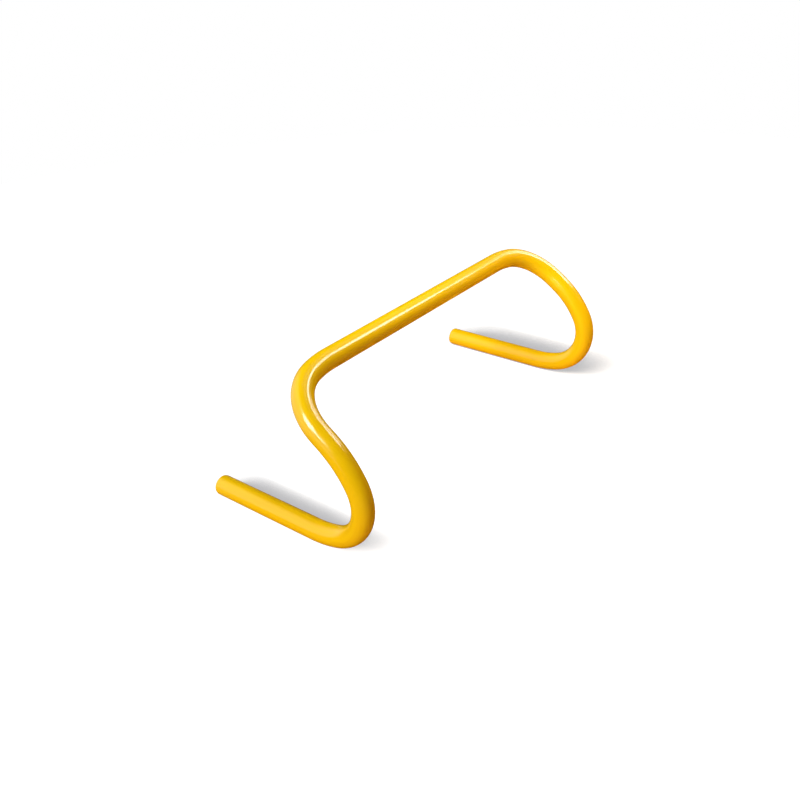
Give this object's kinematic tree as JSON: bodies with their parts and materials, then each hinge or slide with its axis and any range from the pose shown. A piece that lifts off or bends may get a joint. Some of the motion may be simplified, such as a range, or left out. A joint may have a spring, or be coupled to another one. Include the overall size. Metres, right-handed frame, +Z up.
{
  "type": "speed hurdle",
  "caption": "Low training hurdle bent from a glossy yellow plastic tube: straight feet on the floor, rounded heels, legs leaning back to a raised crossbar, plugged tube ends.",
  "frame": {"origin": "on the floor, at the middle of the part's footprint", "axes": "+X along the crossbar, +Y from the heels towards the free ends of the feet, +Z up"},
  "size_m": [0.413, 0.1922, 0.1567],
  "materials": {
    "tube": "glossy extruded yellow PVC",
    "plug": "satin moulded yellow polyethylene"
  },
  "bodies": {
    "root": {"bent_tube": "tube", "left_end_plug": "plug", "right_end_plug": "plug"}
  },
  "joints": []
}
